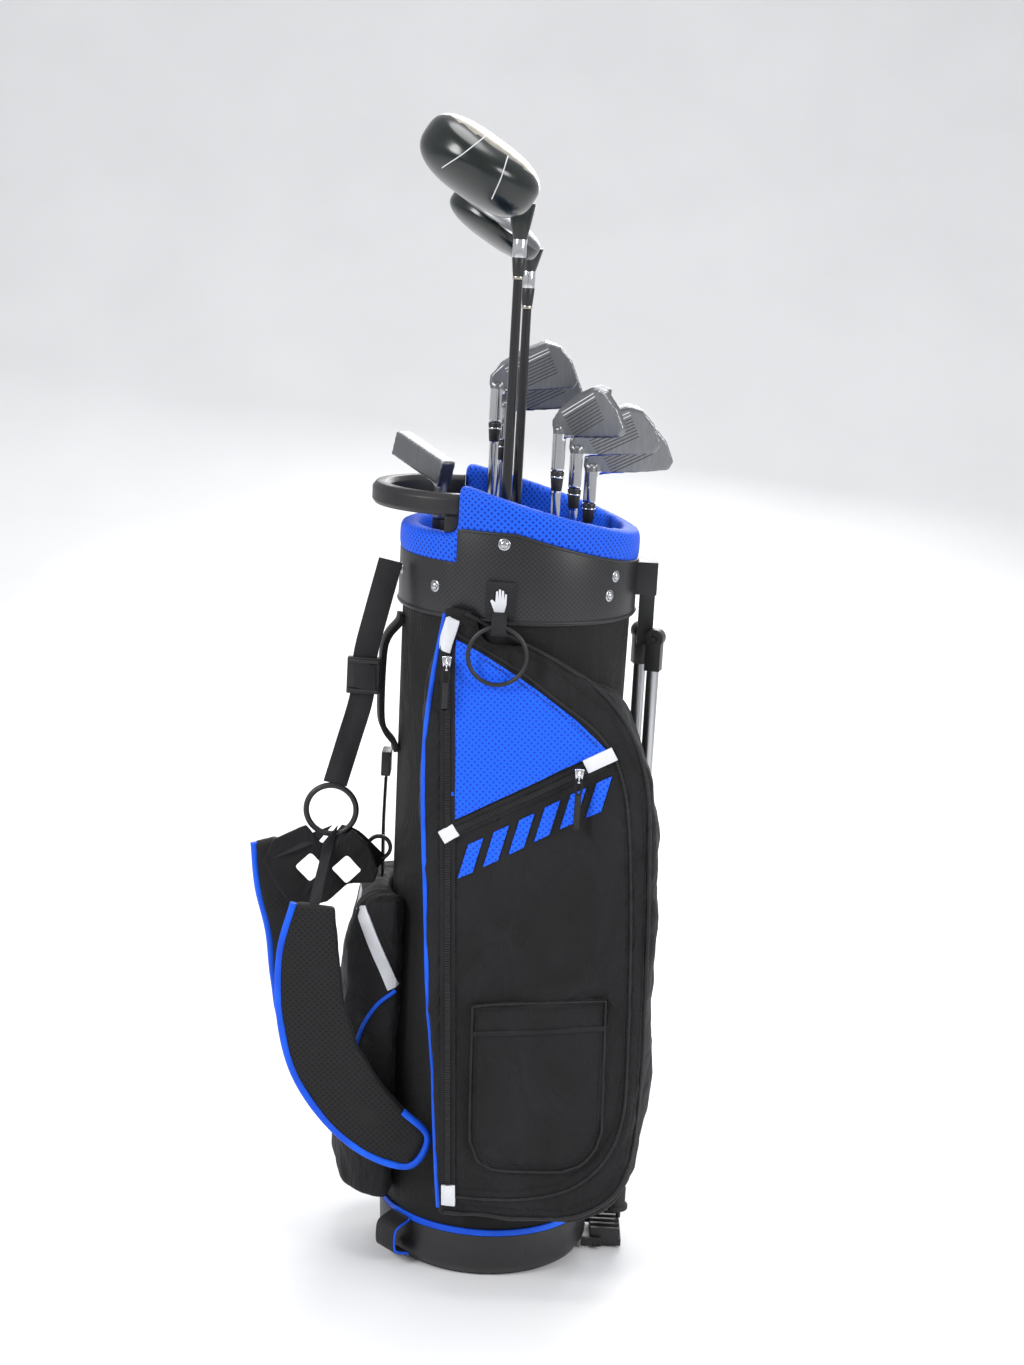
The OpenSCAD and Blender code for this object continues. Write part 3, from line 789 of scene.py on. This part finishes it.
# %% Glove tab
TAB_X = -0.016
TAB_Y = -CUFF_R - 1.6 * MM
tab_path = rounded_path([(TAB_X, TAB_Y, 0.748), (TAB_X, TAB_Y - 1 * MM, 0.725),
                         (TAB_X, TAB_Y - 2 * MM, 0.713)], 5)
tab_band = strap("glove_tab_webbing", tab_path, 0.030, (1, 0, 0))
ring_path = rounded_path([(TAB_X, TAB_Y - 2 * MM, 0.718), (TAB_X, -0.1345, 0.7135),
                          (TAB_X, -0.1425, 0.710), (TAB_X, -0.1443, 0.704),
                          (TAB_X, -0.1410, 0.6975), (TAB_X, -0.1340, 0.697),
                          (TAB_X, -0.1310, 0.702), (TAB_X, -0.1295, 0.711)], 5)
ring_loop = strap("glove_tab_loop", ring_path, 0.015, (1, 0, 0), 0.0016)
finish_piece(ring_loop, "glove_tab_loop", webbing_cloth)
finish_piece(tab_band, "glove_tab_webbing", webbing_cloth, "bag", ("glove_tab",))
HAND = [(-6, 0), (5, 0), (7, 9), (7, 20), (5, 21), (4.4, 14), (3.6, 24), (1.4, 24.5),
          (1, 14.5), (0.2, 25.5), (-2, 25.5), (-2.2, 14.5), (-3, 23.5), (-5, 23), (-5.4, 11),
          (-9, 14), (-11, 12.5), (-7.5, 4)]
bpy.ops.object.select_all(action="DESELECT")
bpy.ops.mesh.primitive_circle_add(vertices=len(HAND), radius=1, fill_type="NGON")
hand = bpy.context.active_object
for vertex, (x, z) in zip(hand.data.vertices, HAND):
    vertex.co = (TAB_X + x * 0.9 * MM, TAB_Y - 2.8 * MM, 0.718 + z * 0.9 * MM)
solid = hand.modifiers.new("print", "SOLIDIFY")
solid.thickness, solid.offset = 0.8 * MM, 0
bevelled(hand, 0.2 * MM, 2)
finish_piece(hand, "glove_mark", pale_trim)

# %% [markdown]
# Shoulder pads are long foam pads with a knit face. Each is the merged copy of its frame solid,
# puffed. A tube of blue edging runs down its outer side, across its tip and back a little way.

# %% Shoulder pads
def pad_piece(node_name, path, widths):
    low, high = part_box(node_name)
    item = copy_of(node_name)
    softened(item, 0.003, 14, 0.003, 0.04)
    finish_piece(item, node_name + "_foam", black_mesh, "bag", (node_name,))
    middle = (low[1] + high[1]) / 2
    centre = [Vector(p) for p in path]
    sides = ([], [])
    for i, here in enumerate(centre):
        along = (centre[min(i + 1, len(path) - 1)] - centre[max(i - 1, 0)]).normalized()
        out = Vector((-along.y, along.x)) * (widths[i] / 2 - 1.5)
        sides[0].append(here + out)
        sides[1].append(here - out)
    outer = sides[1] + sides[0][-2:][::-1]
    outline = [(p.x * MM, middle - 5 * MM, p.y * MM) for p in outer]
    edge = rod_along(node_name + "_edge", rounded_path(outline, 6), 3.8 * MM)
    finish_piece(edge, node_name + "_edging", blue_trim)

FRONT_PAD = [(-190, 402), (-193, 350), (-188, 290), (-172, 235), (-142, 190), (-106, 158),
             (-70, 140)]
pad_piece("shoulder_pad_front", FRONT_PAD, [44, 62, 70, 74, 72, 64, 40])
REAR_PAD = [(-250, 448), (-236, 404), (-216, 356), (-206, 300), (-198, 250)]
pad_piece("shoulder_pad_rear", REAR_PAD, [26, 44, 58, 62, 50])

# %% [markdown]
# The yoke is doubled cloth between the ring and the pads, and the webbing runs in one piece from
# the cuff through the buckle to the ring, with a fold of it between the buckle's two bars. Flat
# straps are swept along their route.

# %% Yoke and webbing
yoke = copy_of("strap_yoke")
softened(yoke, 0.0014, 5, 0.002, 0.03)
finish_piece(yoke, "strap_yoke_cloth", black_cloth, "bag", ("strap_yoke",))
STRAP_Y = -0.049
upper_path = rounded_path([(-0.130, STRAP_Y, 0.752), (-0.142, STRAP_Y, 0.700),
                           (-0.152, STRAP_Y, 0.652), (-0.154, STRAP_Y, 0.609),
                           (-0.166, STRAP_Y, 0.560), (-0.178, STRAP_Y, 0.514)], 6)
web = strap("strap_webbing_upper", upper_path, 0.025, (0.98, 0, -0.19))
finish_piece(web, "strap_webbing_upper", webbing_cloth, "bag", ("strap_webbing",))
turned_end = rounded_path([(-0.150, -0.0555, 0.617), (-0.1515, -0.058, 0.631),
                           (-0.153, -0.0555, 0.645)], 5)
fold = strap("buckle_webbing", turned_end, 0.024, (0.98, 0, -0.19))
finish_piece(fold, "buckle_webbing", webbing_cloth)
for k, height in enumerate((0.616, 0.646)):
    bar = rod_along("buckle_bar", [(-0.168, -0.0550, height), (-0.138, -0.0550, height)], 2.2 * MM)
    finish_piece(bar, "buckle_bar_%d" % (k + 1), black_plastic)
LINKS = {
    "strap_link_left": [(-0.186, -0.050, 0.460), (-0.206, -0.056, 0.452), (-0.232, -0.052, 0.440),
                        (-0.243, -0.046, 0.436)],
    "strap_link_front": [(-0.180, -0.056, 0.462), (-0.184, -0.068, 0.436),
                         (-0.188, -0.098, 0.412), (-0.190, -0.110, 0.394)],
    "strap_link_spine": [(-0.176, -0.050, 0.461), (-0.158, -0.050, 0.455),
                         (-0.136, -0.034, 0.430), (-0.130, -0.012, 0.418)],
}
for name, route in LINKS.items():
    link = strap(name, rounded_path(route, 6), 0.024, (0.5, 0.4, 0.6))
    finish_piece(link, name, webbing_cloth)
spine = strap("spine_webbing", rounded_path([(-0.128, 0, 0.514), (-0.1285, 0, 0.46),
                                             (-0.127, 0, 0.405)], 5), 0.027)
finish_piece(spine, "spine_webbing", webbing_cloth)
print("straps done")

# %% [markdown]
# The carry handle is a thick, soft strap of air mesh, and the grab loop is a webbing loop with
# blue edging along both sides.

# %% Carry handle and grab loop
def bowed(angle, radius, z0, z1, bow):
    turn = math.radians(angle)
    out = Vector((math.cos(turn), math.sin(turn), 0))
    path = []
    for share, lift in ((0, 0), (0.06, 0.1), (0.16, 0.75), (0.3, 1), (0.7, 1), (0.84, 0.75),
                        (0.94, 0.1), (1, 0)):
        height = z0 + (z1 - z0) * share
        path.append(out * (radius + bow * lift) + Vector((0, 0, height)))
    across = Vector((-out.y, out.x, 0))
    return rounded_path(path, 5), across

grip_path, across = bowed(190, 0.1205, 0.547, 0.693, 0.017)
grip = strap("spine_handle_strap", grip_path, 0.026, across, 0.006)
finish_piece(grip, "spine_handle_strap", black_mesh, "bag", ("spine_handle",))
loop_path, across = bowed(222, 0.1175, 0.010, 0.052, 0.019)
loop = strap("grab_loop_strap", loop_path, 0.029, across, 0.004)
finish_piece(loop, "grab_loop_strap", webbing_cloth, "bag", ("grab_loop",))
for side in (-1, 1):
    edge = [p + across * side * 0.0145 for p in loop_path]
    finish_piece(rod_along("grab_edge", edge, 1.4 * MM), "grab_loop_edging_%d" % (side + 2),
                 blue_trim)

# %% [markdown]
# The side pocket closes with a pale zipper flap, and blue edging runs round its mouth.

# %% Side pocket trims
flap = panel(band([(-146, 388), (-128, 352), (-106, 305)], 13), ball_skin, lift=2.0, cell=8)
finish_piece(flap, "side_pocket_flap", pale_trim)
side_line = [(-104, 302), (-124, 284), (-140, 250), (-146, 200), (-150, 130)]
finish_piece(piping_on("side_pocket_piping", side_line, ball_skin, 2.2), "side_pocket_piping",
             blue_trim)

# %% [markdown]
# Each club stands upright at its own place, and its head is built lying along X from heel to
# toe. One matrix then turns the head about the shaft, tips it to its lie and lifts it into place.

# %% Club head frames
LIE_WOOD, LIE_IRON = 58, 62
def club_place(name):
    low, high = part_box(name + "_grip")
    return (low[0] + high[0]) / 2, (low[1] + high[1]) / 2

def mouth_height(name):
    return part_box(name + "_shaft")[1][2]

def head_matrix(name, turn, lie, rise):
    x, y = club_place(name)
    place = Matrix.Translation((x, y, mouth_height(name) + rise * MM))
    return (place @ Matrix.Rotation(math.radians(turn), 4, "Z")
            @ Matrix.Rotation(math.radians(lie - 90), 4, "Y"))

# %% [markdown]
# Wood heads start as a sphere. It is made squarer across, lower and narrower towards the back, and
# then drawn out to its length, depth and height. The front is pressed nearly to a plane for the
# face, and the faces on the sole's side take the metal.

# %% Wood heads
SQUARENESS = 2.6
FACE_Y, FACE_ROUND, FACE_PRESS = -12, 6, 0.15
METAL_FROM = {"driver": 0.33, "fairway": 0.1}
def wood(name, rise, length, tall, deep, sole_up):
    bpy.ops.object.select_all(action="DESELECT")
    bpy.ops.mesh.primitive_uv_sphere_add(segments=72, ring_count=40, radius=1)
    head = bpy.context.active_object
    half = Vector((length / 2 + 2, deep / 2 + 2, tall / 2)) * MM
    middle = Vector((length / 2 - 4, deep / 2 - 10, 0)) * MM
    face_y = FACE_Y * MM
    for vertex in head.data.vertices:
        p = vertex.co
        back = 0.5 + 0.5 * p.y
        reach = math.hypot(p.x, p.z)
        if reach > 0:
            across, up = abs(p.x / reach), abs(p.z / reach)
            full = (across ** SQUARENESS + up ** SQUARENESS) ** (-1 / SQUARENESS)
            p.x, p.z = p.x * full, p.z * full
        p.x *= 1 - 0.16 * back * back
        p.z = p.z * (1 - 0.34 * back ** 2)
        if p.z > 0:
            p.z = p.z ** 0.8
        else:
            p.z *= 1.05
        p.x, p.y, p.z = p.x * half.x + middle.x, p.y * half.y + middle.y, p.z * half.z
        if p.y < face_y + FACE_ROUND * MM:
            p.y = face_y + (p.y - face_y) * FACE_PRESS
    head.data.transform(Matrix.Translation((0, 0, sole_up * MM)))
    limit = (sole_up + tall * METAL_FROM[name]) * MM
    shades = [1 if f.center.z > limit else 0 for f in head.data.polygons]
    head.data.transform(head_matrix(name, 180, LIE_WOOD, rise))
    bpy.ops.object.shade_smooth()
    finish_piece(head, name + "_shell", crown_gloss, name, (name + "_head",))
    head.data.materials.append(sole_silver if name == "driver" else brushed)
    head.data.polygons.foreach_set("material_index", shades)
    return head

DRIVER_RISE, FAIRWAY_RISE = 42, 30
driver = wood("driver", DRIVER_RISE, 124, 68, 106, 13)
wood("fairway", FAIRWAY_RISE, 104, 38, 84, 7)

def sleeve(name, label, z0, z1, r0, r1, material):
    x, y = club_place(name)
    bpy.ops.object.select_all(action="DESELECT")
    bpy.ops.mesh.primitive_cone_add(vertices=32, radius1=r0 * MM, radius2=r1 * MM,
                                    depth=z1 - z0, location=(x, y, (z0 + z1) / 2))
    item = bpy.context.active_object
    settle(item)
    bevelled(item, 0.5 * MM, 2)
    return finish_piece(item, name + "_" + label, material, name)

for name, rise in (("driver", DRIVER_RISE), ("fairway", FAIRWAY_RISE)):
    mouth = mouth_height(name)
    sleeve(name, "neck", mouth + 0.016, mouth + rise * MM + 0.010, 6.6, 14, crown_gloss)
    sleeve(name, "sleeve", mouth, mouth + 0.018, 6.9, 6.9, chrome)
    sleeve(name, "ferrule", mouth - 0.018, mouth, 5.4, 7.0, black_plastic)
    sleeve(name, "shaft_ring", mouth - 0.021, mouth - 0.018, 5.6, 5.7, sole_silver)

# %% [markdown]
# Two thin pale lines cross the driver's crown. They are traced on it by rays cast along +Y.

# %% Crown lines
driver_skin = skin_of(driver)
for k, line in enumerate(([(-51, 1176), (-58, 1168), (-74, 1154), (-92, 1142)],
                          [(-31, 1156), (-36, 1136), (-44, 1116)])):
    trace = piping_on("crown_line_%d" % (k + 1), line, driver_skin, 0.55, 0.0)
    finish_piece(trace, "crown_line_%d" % (k + 1), pale_trim, "driver")

# %% [markdown]
# Iron heads are cast and then ground, so a fine remesh of the frame's blade with a little
# smoothing gives their rolled edges. Scored grooves go on the face as thin dark strips, a painted
# shade standing in for the grooves' depth; the lowest two are filled white.

# %% Irons
IRONS = {"iron_4": (0, 39), "iron_5": (0, 39), "iron_6": (-48, 42), "iron_7": (-6, 41),
         "iron_8": (0, 38)}
GROOVES, PAINTED, GROOVE_PITCH, FACE_TWIST = 9, 2, 3.4, math.radians(12)
# Painted shade: the dark score line colour stands in for the shade inside the grooves.
score = finish_named("score line", (0.05, 0.05, 0.05), 0.5, metal=0.6)
paint = finish_named("score line paint", (0.75, 0.76, 0.74), 0.5)
for name, (turn, rise) in IRONS.items():
    blade = copy_of(name + "_head")
    softened(blade, 0.0013, 6)
    finish_piece(blade, name + "_blade", brushed, name, (name + "_head",))
    blade.data.materials.append(chrome)
    neck_top = mouth_height(name) + (rise - 4) * MM
    blade.data.polygons.foreach_set(
        "material_index", [1 if f.center.z < neck_top else 0 for f in blade.data.polygons])
    place = head_matrix(name, turn, LIE_IRON, rise) @ Matrix.Rotation(FACE_TWIST, 4, "X")
    for group, rows, material in (("grooves", range(PAINTED, GROOVES), score),
                                  ("groove_paint", range(PAINTED), paint)):
        bpy.ops.object.select_all(action="DESELECT")
        made = []
        for row in rows:
            height = 13 - row * GROOVE_PITCH
            bpy.ops.mesh.primitive_cube_add(size=1)
            line = bpy.context.active_object
            line.scale = ((50 - row * 0.4) * MM, 0.5 * MM, 0.8 * MM)
            line.location = (40 * MM, -2.95 * MM, height * MM)
            settle(line)
            made.append(line)
        lines = joined(made)
        lines.data.transform(place)
        finish_piece(lines, name + "_" + group, material, name)
    mouth = mouth_height(name)
    sleeve(name, "ferrule", mouth - 0.020, mouth, 5.4, 7.0, black_plastic)
    sleeve(name, "ferrule_ring", mouth - 0.007, mouth - 0.005, 6.9, 7.1, chrome)

putter = copy_of("putter_head")
softened(putter, 0.0015, 6)
finish_piece(putter, "putter_blade", brushed, "putter", ("putter_head",))
mouth = mouth_height("putter")
sleeve("putter", "ferrule", mouth - 0.020, mouth, 5.4, 7.0, black_plastic)
print("clubs done")

# %% [markdown]
# The floor is one pale sweep: a plane whose far edge is extruded up and rounded, so no horizon
# line crosses behind the bag.

# %% Floor
bpy.ops.object.select_all(action="DESELECT")
bpy.ops.mesh.primitive_plane_add(size=14, location=(0, 0, -0.0005))
floor = bpy.context.active_object
floor.name = "studio_floor"
floor.data.transform(Matrix.Translation((0, -2.5, 0)))
bpy.ops.object.mode_set(mode="EDIT")
bpy.ops.mesh.select_all(action="DESELECT")
bpy.ops.object.mode_set(mode="OBJECT")
for edge in floor.data.edges:
    edge.select = all(floor.data.vertices[v].co.y > 0 for v in edge.vertices)
bpy.ops.object.mode_set(mode="EDIT")
bpy.ops.mesh.extrude_region_move(TRANSFORM_OT_translate={"value": (0, 0, 7)})
bpy.ops.object.mode_set(mode="OBJECT")
bend = floor.modifiers.new("sweep", "BEVEL")
bend.width, bend.segments = 3.0, 16
apply_modifiers(floor)
bpy.ops.object.shade_smooth()
floor_finish = finish_named("pale floor", (0.82, 0.82, 0.83), 0.65)
mottle = node(floor_finish, "ShaderNodeTexNoise", Scale=3.0, Detail=3.0)
join(floor_finish, place_of(floor_finish), "Vector", mottle, "Vector")
tint(floor_finish, mottle, "Fac", (0.80, 0.80, 0.81), (0.84, 0.84, 0.85))
floor.data.materials.append(floor_finish)
